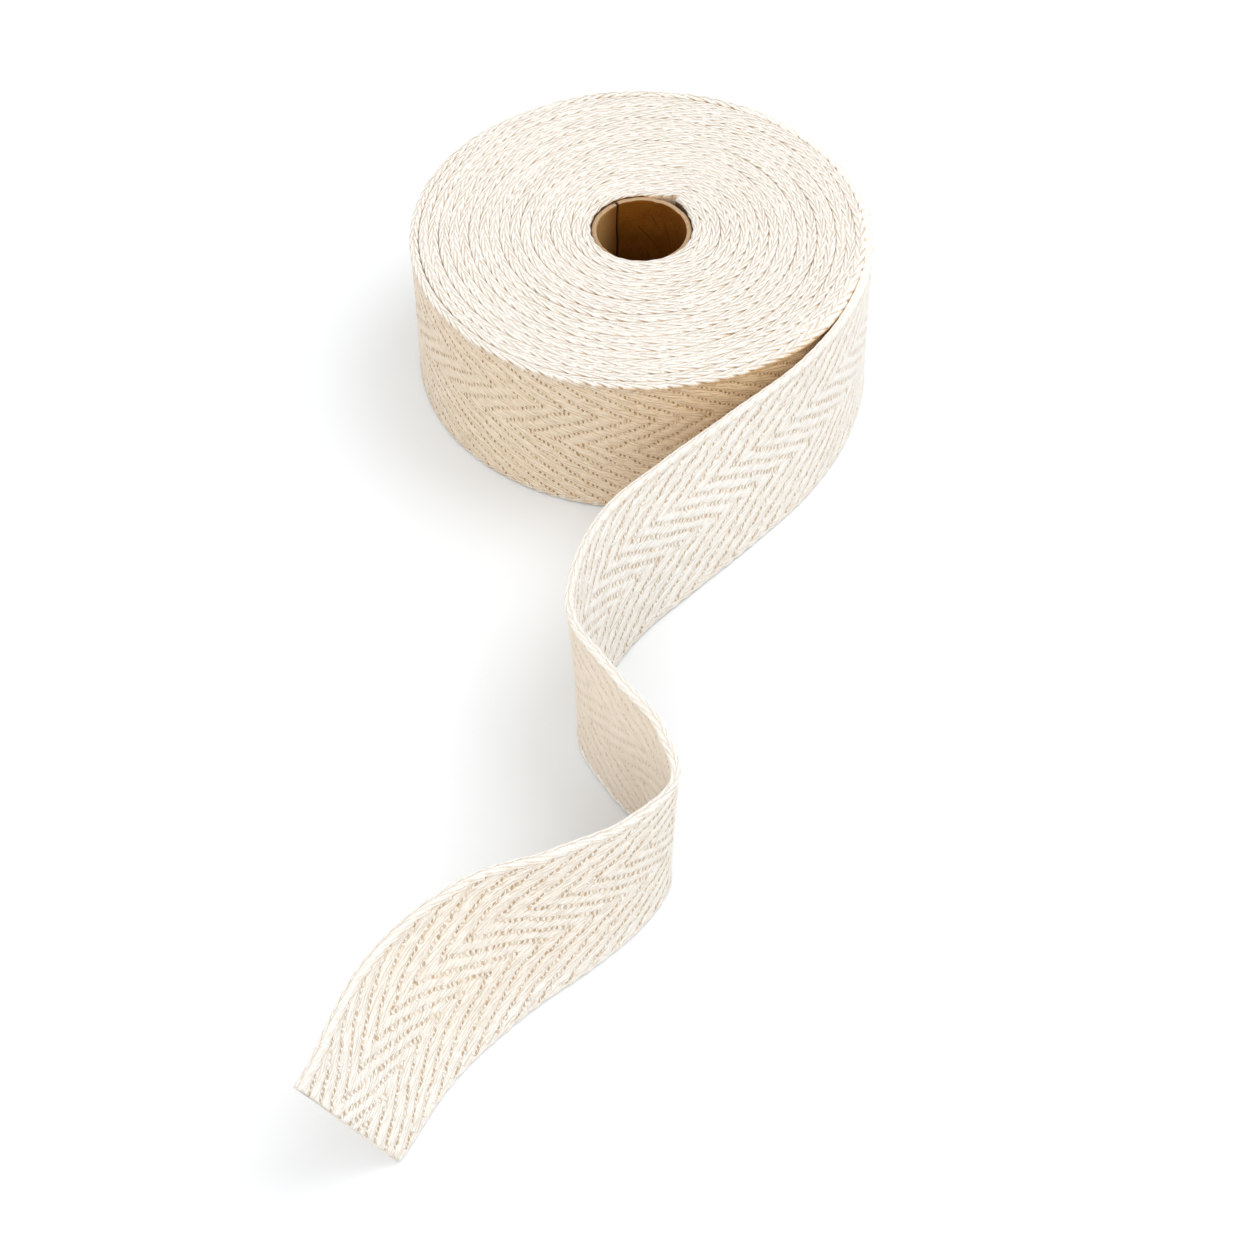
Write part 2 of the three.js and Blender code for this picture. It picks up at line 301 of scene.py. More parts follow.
def strip(name, at, s_from, s_to, step_s, kind, painted_shade, seed=0):
    """A closed mesh of the webbing from s_from to s_to."""
    rows = section(kind)
    n = int(round((s_to - s_from) / step_s)) + 1
    base = np.linspace(s_from, s_to, n)
    m = len(rows)
    pos, uv = np.zeros((n, m, 3)), np.zeros((n, m, 2))
    stitch, weave, shade = (np.zeros((n, m, 3)) for _ in range(3))
    wound = at is wound_at
    fine, relief = (True, 0.17) if kind == "inner" else (False, 0.34)
    # the grid leans along the stitches, and straightens toward its two ends
    fade = np.clip((base - s_from) / 16.0, 0, 1) * np.clip((s_to - base) / 16.0, 0, 1)
    way = 2 * step(TURN_S - 14, TURN_S + 14, base) - 1 if wound else 2 * step(BEND_S + 14, BEND_S - 14, base) - 1
    for j, (part, w, v) in enumerate(rows):
        s = np.clip(base + way * (FINE_SLANT if fine else slant(base)) * abs(v) * fade, s_from, s_to)
        pat = np.where(s < TURN_S, 2 * TURN_S - s, s) if wound else s
        start = np.clip(np.abs(s) / 25.0, 0, 1)
        up = 1.0 if w > WEB_WIDTH / 2 else -1.0
        out, inward = edge_halves(s, wound)
        side = out if v >= 0 else inward
        column = 0 if v >= 0 else 1
        drop = min(w, WEB_WIDTH - w) - EDGE_RISE
        if part in ("outer", "inner"):
            p = stitch_phase(s, 1.0, drop, wound, fine)
            b, d_st = strand(p + 0.5 * column, column)
            # each stitch ends in a tip that lies on the face
            tip = (p + FALL * (drop - 0.9) / STITCH) % 1.0
            ends = 0.45 + 1.25 * tip * np.clip((1 - tip) / 0.12, 0, 1)
            on = ease((ends + 0.15 - drop) / 0.3)
            q = rib_phase(pat, np.full(n, w), s)
            h_r, d_r = ribs(q)
            h = 0.17 * (b - 0.3) * on + h_r * (1 - on) * float(step(0.3, 2.2, drop))
            d = d_st * on * 0.7 + 0.3 * d_r * (1 - on)
            if kind == "inner" or (kind == "outer" and part == "inner"):
                h, d = 0.0 * b, d_st
            half = HALF_BODY + (side - HALF_BODY) * float(step(SELVEDGE - EDGE_RISE, 0.1, drop))
            dist = v * (half + h)
            ww, vv = np.full(n, w), np.full(n, w)
            low, high = apex(s)
            weave[:, j, 0] = q
            weave[:, j, 2] = step(-0.8, 0.8, w - low) * step(0.8, -0.8, w - high)
        else:
            lift = max(0.0, 1 - abs(v) ** 2.6) ** 0.5
            p = stitch_phase(s, v, 0.0, wound, fine)
            b, d_st = strand(p + 0.5 * column, column)
            mid = math.exp(-(v / 0.16) ** 2)
            dist = v * (side + 0.05 * (b - 0.6))
            ww = w + up * (EDGE_RISE + relief * (b - 0.7) - 0.10 * mid) * lift
            d = np.clip(0.8 * d_st + 0.35 * mid + 0.6 * max(0.0, abs(v) - 0.80) / 0.20 * (0.25 + 0.75 * d_st), 0, 1)
            vv = np.full(n, w) + up * 1.4 * lift
            weave[:, j, 0] = 0.5
        stitch[:, j] = np.stack([p, np.full(n, v), np.ones(n) if wound else 0.2 + 0.8 * step(60.0, 0.0, s)], -1)
        weave[:, j, 1] = pits_along(pat)
        # the woven edge is scalloped, and the turns lie a little uneven
        reach = np.clip((np.abs(ww - WEB_WIDTH / 2) / (WEB_WIDTH / 2) - 0.8) / 0.2, 0, 1)
        if up > 0:
            if wound:
                ww = ww + reach * start * (0.20 * noise(s, 41.0, 51 + seed) + 0.12 * noise(s, 13.0, 52 + seed))
            else:
                ww = ww + reach * start * 0.14 * noise(s, 15.0, 53)
        else:
            ww = ww + reach * 0.20 * (1 + np.cos(2 * np.pi * s / 5.7))
        if wound:
            dist = dist + start * (0.12 * noise(s, 31.0, 61) + 0.05 * noise(s, 9.0, 62))
        foot, rise, face = at(s)
        point = foot + face * np.asarray(dist)[:, None] + rise * ww[:, None]
        point[:, 2] = np.maximum(point[:, 2], 0.0)
        pos[:, j] = point
        uv[:, j, 0], uv[:, j, 1] = pat, vv
        # shade: depth of the hollows for the painted shade in them, the painted shade tint, and how calm the pattern
        # is
        shade[:, j] = np.stack([d, painted_shade(part, s, w, v), np.ones(n) if part == "inner" and not wound else calm(s, wound)], -1)
    return solid_grid(name, (pos + SHIFT) * MM, uv, {"stitch": stitch, "rib": weave, "shade": shade})


def calm(s, wound):
    """Where the pattern shows less: beside the place where the end leaves."""
    return 0.7 * step(-75.0, -35.0, s) * step(75.0, 30.0, s)


def solid_grid(name, pos, uv, data):
    """A closed mesh of n sections with m points each, with end faces."""
    n, m, _ = pos.shape
    i = np.arange(n - 1)[:, None]
    j = np.arange(m)[None, :]
    k = (j + 1) % m
    quads = np.stack([i * m + j, i * m + k, (i + 1) * m + k, (i + 1) * m + j], -1).reshape(-1, 4)
    # which way is out: the signed volume
    P = pos.reshape(-1, 3)
    c = P.mean(0)
    a, b, cc, d = (P[quads[:, q]] - c for q in range(4))
    volume = (np.einsum("ij,ij->i", a, np.cross(b, cc)) + np.einsum("ij,ij->i", a, np.cross(cc, d))).sum()
    first, last = np.arange(m)[::-1], np.arange(m) + (n - 1) * m
    if volume < 0:
        quads = quads[:, ::-1]
        first, last = first[::-1], last[::-1]
    mesh = bpy.data.meshes.new(name)
    nq = len(quads)
    mesh.vertices.add(n * m)
    mesh.vertices.foreach_set("co", P.astype(np.float32).ravel())
    mesh.loops.add(nq * 4 + 2 * m)
    index = np.concatenate([quads.ravel(), first, last]).astype(np.int32)
    mesh.loops.foreach_set("vertex_index", index)
    mesh.polygons.add(nq + 2)
    mesh.polygons.foreach_set("loop_start", np.concatenate([np.arange(nq) * 4, [nq * 4, nq * 4 + m]]).astype(np.int32))
    mesh.update(calc_edges=True)
    layer = mesh.uv_layers.new(name="weave")
    layer.data.foreach_set("uv", uv.reshape(-1, 2)[index].astype(np.float32).ravel())
    for key, values in data.items():
        mesh.attributes.new(key, "FLOAT_VECTOR", "POINT").data.foreach_set("vector", values.astype(np.float32).ravel())
    mesh.polygons.foreach_set("use_smooth", np.concatenate([np.ones(nq, bool), [False, False]]))
    mesh.validate()
    ob = bpy.data.objects.new(name, mesh)
    bpy.context.scene.collection.objects.link(ob)
    return ob


# ------------------------------------------------------------- the material
class Nodes:
    """Short names for the shader nodes."""

    def __init__(self, name):
        self.mat = bpy.data.materials.new(name)
        self.mat.use_nodes = True
        self.tree = self.mat.node_tree
        self.tree.nodes.clear()

    def new(self, kind, **settings):
        node = self.tree.nodes.new(kind)
        for key, value in settings.items():
            setattr(node, key, value)
        return node

    def put(self, socket, value):
        if isinstance(value, bpy.types.NodeSocket):
            self.tree.links.new(value, socket)
        elif value is not None:
            socket.default_value = value

    def math(self, op, a, b=None, c=None, clamp=False):
        node = self.new("ShaderNodeMath", operation=op, use_clamp=clamp)
        for socket, value in zip(node.inputs, (a, b, c)):
            self.put(socket, value)
        return node.outputs[0]

    def add(self, a, b): return self.math("ADD", a, b)
    def sub(self, a, b): return self.math("SUBTRACT", a, b)
    def mul(self, a, b): return self.math("MULTIPLY", a, b)

    def ramp(self, value, a, b, lo=0.0, hi=1.0, kind="SMOOTHSTEP"):
        node = self.new("ShaderNodeMapRange", interpolation_type=kind)
        self.put(node.inputs["Value"], value)
        for key, x in (("From Min", a), ("From Max", b), ("To Min", lo), ("To Max", hi)):
            self.put(node.inputs[key], x)
        return node.outputs["Result"]

    def vector(self, x, y, z=0.0):
        node = self.new("ShaderNodeCombineXYZ")
        for socket, value in zip(node.inputs, (x, y, z)):
            self.put(socket, value)
        return node.outputs[0]

    def noise(self, vector, scale, detail=2.0, rough=0.5):
        node = self.new("ShaderNodeTexNoise", noise_dimensions="3D")
        self.put(node.inputs["Vector"], vector)
        node.inputs["Scale"].default_value = scale
        node.inputs["Detail"].default_value = detail
        node.inputs["Roughness"].default_value = rough
        return node.outputs["Fac"]

    def white(self, vector):
        node = self.new("ShaderNodeTexWhiteNoise", noise_dimensions="3D")
        self.put(node.inputs["Vector"], vector)
        return node.outputs["Value"]

    def mix(self, factor, a, b, how="MIX"):
        node = self.new("ShaderNodeMix", data_type="RGBA", blend_type=how)
        self.put(node.inputs[0], factor)
        for socket, value in ((node.inputs[6], a), (node.inputs[7], b)):
            self.put(socket, value if isinstance(value, bpy.types.NodeSocket) else (*value, 1.0))
        return node.outputs[2]


def cotton(name):
    n = Nodes(name)

    def parts(vector):
        node = n.new("ShaderNodeSeparateXYZ")
        n.put(node.inputs[0], vector)
        return node.outputs

    def given(key):
        return parts(n.new("ShaderNodeAttribute", attribute_name=key).outputs["Vector"])

    def wrap(x):
        return n.math("WRAP", x, 0.5, -0.5)

    def size(x):
        return n.math("ABSOLUTE", x)

    s, w, _ = parts(n.new("ShaderNodeUVMap", uv_map="weave").outputs[0])
    phase, side, packed = given("stitch")
    rib, pits, middle = given("rib")
    # the shade attribute: how deep the hollows lie, the painted shade tint, and how calm the pattern is
    sunk, painted_shade, calm_ = given("shade")
    place = n.new("ShaderNodeTexCoord").outputs["Object"]
    show = n.sub(1.0, n.mul(calm_, 0.62))

    # the stitched edge, whose tips lie on the face
    side = n.add(side, n.mul(n.sub(n.noise(n.vector(n.mul(s, 0.30), 0.0, 6.0), 1.0, 2.0), 0.5), 0.5))
    column = n.math("LESS_THAN", side, 0.0)
    stitch = n.add(phase, n.mul(column, 0.5))
    drop = n.sub(n.math("MINIMUM", w, n.sub(WEB_WIDTH, w)), EDGE_RISE)
    tip = n.math("FRACT", n.add(phase, n.mul(n.sub(drop, 0.9), FALL / STITCH)))
    ends = n.add(0.45, n.mul(n.mul(tip, 1.25), n.ramp(tip, 1.0, 0.88)))
    edge = n.ramp(n.sub(drop, ends), 0.12, -0.06)
    under = n.mul(n.ramp(n.sub(drop, ends), 0.75, 0.12), n.sub(1.0, edge))
    body = n.sub(1.0, edge)
    white_edge = n.mul(edge, n.ramp(painted_shade, 1.35, 1.0))
    painted_shade = n.mul(painted_shade, n.sub(1.0, n.mul(white_edge, 0.8)))
    # the painted shade's share on the wound wall, up to 1; it also sets the wall's pattern sizes
    shaded_wall = n.math("MINIMUM", painted_shade, 1.0)
    lot = n.white(n.vector(n.math("FLOOR", stitch), column, 3.0))
    f = size(wrap(stitch))
    deep = n.mul(n.mul(n.ramp(f, 0.23, 0.09), n.add(0.55, n.mul(lot, 0.45))), n.add(0.45, n.mul(packed, 0.55)))
    broken = n.ramp(n.noise(n.vector(n.mul(s, 0.42), n.mul(side, 0.8), n.mul(column, 7.0)), 1.0, 2.0, 0.6), 0.38, 0.50)
    deep = n.mul(deep, n.add(0.22, n.mul(broken, 0.78)))
    ply = n.add(n.mul(stitch, 3.0), n.mul(n.noise(n.vector(n.mul(s, 0.35), side, 3.0), 1.0, 2.0), 1.6))
    fine = n.mul(n.ramp(size(wrap(ply)), 0.30, 0.48), 0.38)
    lane = n.mul(n.ramp(size(side), 0.20, 0.05), n.add(0.15, n.mul(n.ramp(f, 0.20, 0.36), 0.45)))
    shoulder = n.ramp(size(side), 0.70, 0.92)
    dot = n.mul(n.mul(shoulder, n.ramp(f, 0.18, 0.07)), n.mul(n.ramp(lot, 0.30, 0.65, 0.12, 1.0), n.ramp(drop, 0.45, 0.0)))
    yarn_slit = n.mul(n.math("MAXIMUM", n.math("MAXIMUM", deep, fine), lane), n.mul(edge, show))
    dot = n.mul(dot, n.mul(edge, packed))
    crest_highlight = n.mul(n.ramp(f, 0.20, 0.34), n.mul(edge, n.ramp(size(side), 0.98, 0.80)))

    # the ribs' sunk rows: slanted pits with small rounds of yarn between
    wx = n.sub(n.noise(n.vector(n.mul(s, 0.26), n.mul(w, 0.26), 3.0), 1.0, 2.0), 0.5)
    wy = n.sub(n.noise(n.vector(n.mul(s, 0.30), n.mul(w, 0.30), 13.0), 1.0, 2.0), 0.5)
    a = n.add(pits, n.mul(wx, 1.3))
    p = n.add(rib, n.mul(wy, 0.40))
    lean = n.sub(1.0, n.mul(n.math("GREATER_THAN", middle, 0.5), 2.0))
    apart = n.add(RIB_S / 6, n.mul(shaded_wall, RIB_S / 4 - RIB_S / 6))
    dp = n.mul(wrap(p), RIB_W)
    along_row = n.math("ROUND", p)

    def spot(x, length, width, seed):
        cell = n.vector(n.math("ROUND", x), along_row, seed)
        chance = n.white(cell)
        other = n.white(n.vector(n.math("ROUND", x), along_row, seed + 5.0))
        ds = n.add(n.mul(wrap(x), apart), n.mul(n.sub(chance, 0.5), 0.40))
        dw = n.add(n.mul(lean, n.sub(dp, n.mul(ds, RIB_W / RIB_S))), n.mul(n.sub(other, 0.5), 0.55))
        u = n.sub(n.mul(ds, 0.64), n.mul(dw, 0.77))
        v = n.add(n.mul(ds, 0.77), n.mul(dw, 0.64))
        u = n.math("DIVIDE", u, length)
        v = n.math("DIVIDE", v, n.mul(width, n.add(0.75, n.mul(other, 0.5))))
        far = n.add(n.mul(u, u), n.mul(v, v))
        return far, chance, v

    far, chance, _ = spot(a, n.sub(0.78, n.mul(shaded_wall, 0.22)), n.add(0.27, n.mul(shaded_wall, 0.07)), 0.0)
    pit = n.mul(n.mul(n.ramp(far, 1.45, 0.45), body), n.ramp(chance, 0.05, 0.50, n.add(0.15, n.mul(shaded_wall, 0.2)), 1.0))
    far2, chance2, v2 = spot(n.add(a, 0.5), 0.74, 0.46, 2.0)
    round_ = n.mul(n.mul(n.ramp(far2, 1.2, 0.4), body), n.add(0.3, n.mul(chance2, 0.7)))
    # the yarn round each of those throws a small bowed shadow on one side
    flip = n.sub(n.mul(n.math("GREATER_THAN", chance2, 0.4), 2.0), 1.0)
    bow = n.mul(n.ramp(size(n.sub(far2, 1.5)), 0.85, 0.15), n.ramp(n.mul(v2, flip), -0.5, 0.4))
    bow = n.mul(n.mul(bow, body), n.sub(1.0, n.mul(shaded_wall, 0.55)))
    patchy = n.ramp(n.noise(n.vector(n.mul(s, 0.33), n.mul(w, 0.33), 9.0), 1.0, 2.0, 0.6), 0.38, 0.58, 0.30, 1.0)
    row = n.mul(n.mul(n.ramp(size(dp), 1.05, 0.42), body), patchy)
    bar = n.mul(n.mul(n.ramp(size(dp), 1.15, 1.9), middle), body)

    # strands lying lengthwise, a little across the ribs
    al = n.sub(n.mul(s, 0.951), n.mul(w, 0.309))
    ac = n.add(n.mul(w, 0.951), n.mul(s, 0.309))
    leaf = n.noise(n.vector(n.mul(al, 0.17), n.mul(ac, 0.95), 0.0), 1.0, 3.0, 0.62)
    wave = n.mul(n.sub(n.noise(n.vector(n.mul(al, 0.17), n.mul(ac, 0.4), 2.0), 1.0, 2.0), 0.5), 2.2)
    line = size(wrap(n.add(n.mul(ac, 1.0 / 0.98), wave)))
    slit = n.mul(n.ramp(line, 0.22, 0.44), n.ramp(leaf, 0.60, 0.42, 0.25, 1.0))
    slit = n.mul(slit, n.sub(1.0, n.mul(middle, 0.15)))
    thin = n.mul(n.ramp(size(wrap(n.add(n.mul(ac, 1.0 / 0.42), n.mul(wave, 1.5)))), 0.25, 0.48), n.sub(0.62, n.mul(shaded_wall, 0.10)))
    slit = n.mul(n.mul(n.math("MAXIMUM", slit, thin), n.sub(1.0, n.mul(row, 0.35))), body)
    stray = n.noise(n.vector(n.mul(al, 0.30), n.mul(ac, 1.9), 17.0), 1.0, 0.0, 0.5)
    stray = n.mul(n.ramp(stray, 0.56, 0.66), n.mul(body, n.sub(0.75, n.mul(shaded_wall, 0.15))))
    shine = n.mul(n.mul(n.math("MAXIMUM", n.ramp(leaf, 0.46, 0.60), n.mul(bar, n.sub(1.0, n.mul(shaded_wall, 0.7)))), n.ramp(line, 0.34, 0.08)), body)

    fibre = n.noise(n.vector(n.mul(al, 0.9), n.mul(ac, 4.2), 1.0), 1.3, 3.0, 0.6)
    fluff = n.noise(place, 2600.0, 2.0, 0.6)
    height = n.mul(slit, -0.15)
    height = n.sub(height, n.mul(yarn_slit, 0.24))
    height = n.add(height, n.mul(n.sub(fibre, 0.5), 0.10))
    height = n.add(height, n.mul(n.sub(fluff, 0.5), 0.05))
    height = n.sub(height, n.mul(n.math("MAXIMUM", pit, n.mul(bow, 0.5)), n.mul(show, 0.23)))
    height = n.add(height, n.mul(round_, 0.18))
    height = n.add(height, n.mul(shine, 0.10))
    height = n.sub(height, n.mul(under, 0.14))
    bump = n.new("ShaderNodeBump")
    bump.inputs["Strength"].default_value = 1.0
    bump.inputs["Distance"].default_value = MM
    n.put(bump.inputs["Height"], height)

    tone = n.noise(n.vector(n.mul(s, 0.035), n.mul(w, 0.05), 5.0), 1.0, 3.0)
    base = n.mix(n.ramp(tone, 0.35, 0.65), (0.925, 0.898, 0.855), (0.905, 0.870, 0.818))
    base = n.mix(n.mul(n.ramp(fibre, 0.55, 0.30), n.mul(show, 0.25)), base, (0.74, 0.67, 0.58))
    # painted shade: the sunk rows between the ribs and the slits between strands are tinted tan
    base = n.mix(n.mul(row, n.mul(show, 0.62)), base, (0.72, 0.61, 0.47))
    base = n.mix(n.mul(slit, n.mul(show, n.add(0.62, n.mul(shaded_wall, 0.28)))), base, (0.60, 0.475, 0.335))
    base = n.mix(n.mul(n.ramp(stray, 0.0, 0.75), n.mul(show, 0.55)), base, (0.93, 0.91, 0.875))
    base = n.mix(n.mul(shine, 0.85), base, (0.925, 0.905, 0.87))
    base = n.mix(n.mul(round_, n.mul(show, 0.92)), base, (0.93, 0.91, 0.87))
    # painted highlight: the crests of the edge stitches are painted near white
    base = n.mix(n.mul(crest_highlight, n.add(0.50, n.mul(packed, 0.38))), base, (0.935, 0.917, 0.888))
    # painted shadow: a tan line under each stitch tip
    base = n.mix(n.mul(under, n.mul(show, 0.45)), base, (0.66, 0.54, 0.40))
    # painted shade in the hollows: stitch sides, sunk rows, slits between edge stitches, gaps between pressed turns
    # and dots where they part, tinted tan to dark brown
    base = n.mix(n.math("MULTIPLY", sunk, n.mul(show, 0.30)), base, (0.72, 0.59, 0.43))
    base = n.mix(n.mul(yarn_slit, 0.85), base, (0.64, 0.495, 0.34))
    between = n.mul(n.mul(n.ramp(size(side), 0.84, 0.98), n.mul(edge, packed)), n.add(0.25, n.mul(broken, 0.75)))
    base = n.mix(n.mul(between, 0.50), base, (0.66, 0.50, 0.33))
    base = n.mix(n.mul(dot, 0.85), base, (0.40, 0.25, 0.13))
    # painted shade in the weave's pits: tan on the loose end, dark brown on the wound wall
    hollow = n.mix(shaded_wall, (0.56, 0.40, 0.245), (0.40, 0.235, 0.10))
    base = n.mix(n.mul(bow, n.mul(show, 0.62)), base, (0.66, 0.52, 0.36))
    base = n.mix(n.mul(pit, n.mul(n.sub(1.0, n.mul(stray, 0.6)), n.mul(show, 0.92))), base, hollow)
    # painted shade: the wound wall's cream is darkened to tan
    base = n.mix(shaded_wall, base, n.mix(1.0, base, (0.900, 0.790, 0.650), how="MULTIPLY"))
    # painted light and shade: the nook is tinted golden for light coming through the cotton into its shade
    base = n.mix(n.ramp(painted_shade, 1.0, 2.0, kind="LINEAR"), base, n.mix(1.0, base, (1.15, 0.99, 0.74), how="MULTIPLY"))
    # painted shadow: the innermost lap's inner face turns near black where it meets the card's rim
    base = n.mix(n.ramp(painted_shade, 2.2, 2.8), base, (0.10, 0.055, 0.025))

    shader = n.new("ShaderNodeBsdfPrincipled")
    n.put(shader.inputs["Base Color"], base)
    n.put(shader.inputs["Roughness"], n.ramp(fibre, 0.3, 0.7, 0.96, 0.84))
    shader.inputs["Specular IOR Level"].default_value = 0.2
    shader.inputs["Sheen Weight"].default_value = 0.08
    shader.inputs["Sheen Roughness"].default_value = 0.6
    n.put(shader.inputs["Normal"], bump.outputs[0])
    out = n.new("ShaderNodeOutputMaterial")
    n.tree.links.new(shader.outputs[0], out.inputs[0])
    return n.mat


def cardboard(name):
    n = Nodes(name)
    place = n.new("ShaderNodeTexCoord").outputs["Object"]
    uv = n.new("ShaderNodeUVMap", uv_map="weave").outputs[0]
    split = n.new("ShaderNodeSeparateXYZ")
    n.put(split.inputs[0], uv)
    round_, up = split.outputs[0], split.outputs[1]
    sunk = n.new("ShaderNodeAttribute", attribute_name="sunk").outputs["Fac"]
    fibre = n.noise(n.vector(n.mul(round_, 0.9), n.mul(up, 2.6), 0.0), 1.0, 5.0, 0.65)
    blotch = n.noise(place, 150.0, 4.0, 0.6)
    speck = n.noise(place, 1500.0, 3.0, 0.7)
    wave = n.mul(n.sub(n.noise(n.vector(n.mul(round_, 0.3), n.mul(up, 0.3), 4.0), 1.0, 2.0), 0.5), 1.6)
    crease = None
    for x0, y0, x1, y1, wide in CREASES:
        length = math.hypot(x1 - x0, y1 - y0)
        dx, dy = (x1 - x0) / length, (y1 - y0) / length
        x, y = n.sub(n.add(round_, wave), x0), n.sub(up, y0)
        run = n.add(n.mul(x, dx), n.mul(y, dy))
        off = n.math("ABSOLUTE", n.sub(n.mul(x, dy), n.mul(y, dx)))
        one = n.mul(n.ramp(off, wide, 0.0), n.mul(n.ramp(run, -1.0, 1.0), n.ramp(run, length + 1.0, length - 1.0)))
        crease = one if crease is None else n.math("MAXIMUM", crease, one)
    rim = n.ramp(up, RIM_Z - 0.25, RIM_Z - 0.02)
    # painted shade: the card inside the tube is painted a far darker brown than its rim, lighter in a painted lit band
    # on the left of the inner wall
    lit = n.ramp(n.math("ABSOLUTE", n.sub(round_, 11.0)), 12.0, 3.0)
    base = n.mix(n.ramp(blotch, 0.30, 0.70), (0.150, 0.045, 0.002), (0.205, 0.067, 0.004))
    base = n.mix(n.mul(lit, 0.95), base, (0.43, 0.245, 0.085))
    base = n.mix(n.mul(n.ramp(fibre, 0.45, 0.75), 0.30), base, (0.34, 0.15, 0.025))
    base = n.mix(n.mul(n.ramp(speck, 0.56, 0.72), 0.30), base, (0.13, 0.05, 0.008))
    base = n.mix(rim, base, n.mix(n.ramp(fibre, 0.3, 0.7), (0.36, 0.23, 0.125), (0.51, 0.355, 0.225)))
    # painted shade: the card's creases are painted near black
    base = n.mix(n.mul(crease, 0.95), base, (0.09, 0.03, 0.004))
    # painted shade: the butt seam's groove is painted near black
    base = n.mix(sunk, base, (0.035, 0.018, 0.008))
    height = n.add(n.mul(n.sub(fibre, 0.5), 0.10), n.mul(n.sub(speck, 0.5), 0.06))
    height = n.sub(height, n.mul(crease, 0.10))
    bump = n.new("ShaderNodeBump")
    bump.inputs["Strength"].default_value = 0.9
    bump.inputs["Distance"].default_value = MM
    n.put(bump.inputs["Height"], height)
    shader = n.new("ShaderNodeBsdfPrincipled")
    n.put(shader.inputs["Base Color"], base)
    n.put(shader.inputs["Roughness"], n.ramp(blotch, 0.3, 0.7, 0.92, 0.80))
    shader.inputs["Specular IOR Level"].default_value = 0.12
    n.put(shader.inputs["Normal"], bump.outputs[0])
    out = n.new("ShaderNodeOutputMaterial")
    n.tree.links.new(shader.outputs[0], out.inputs[0])
    return n.mat


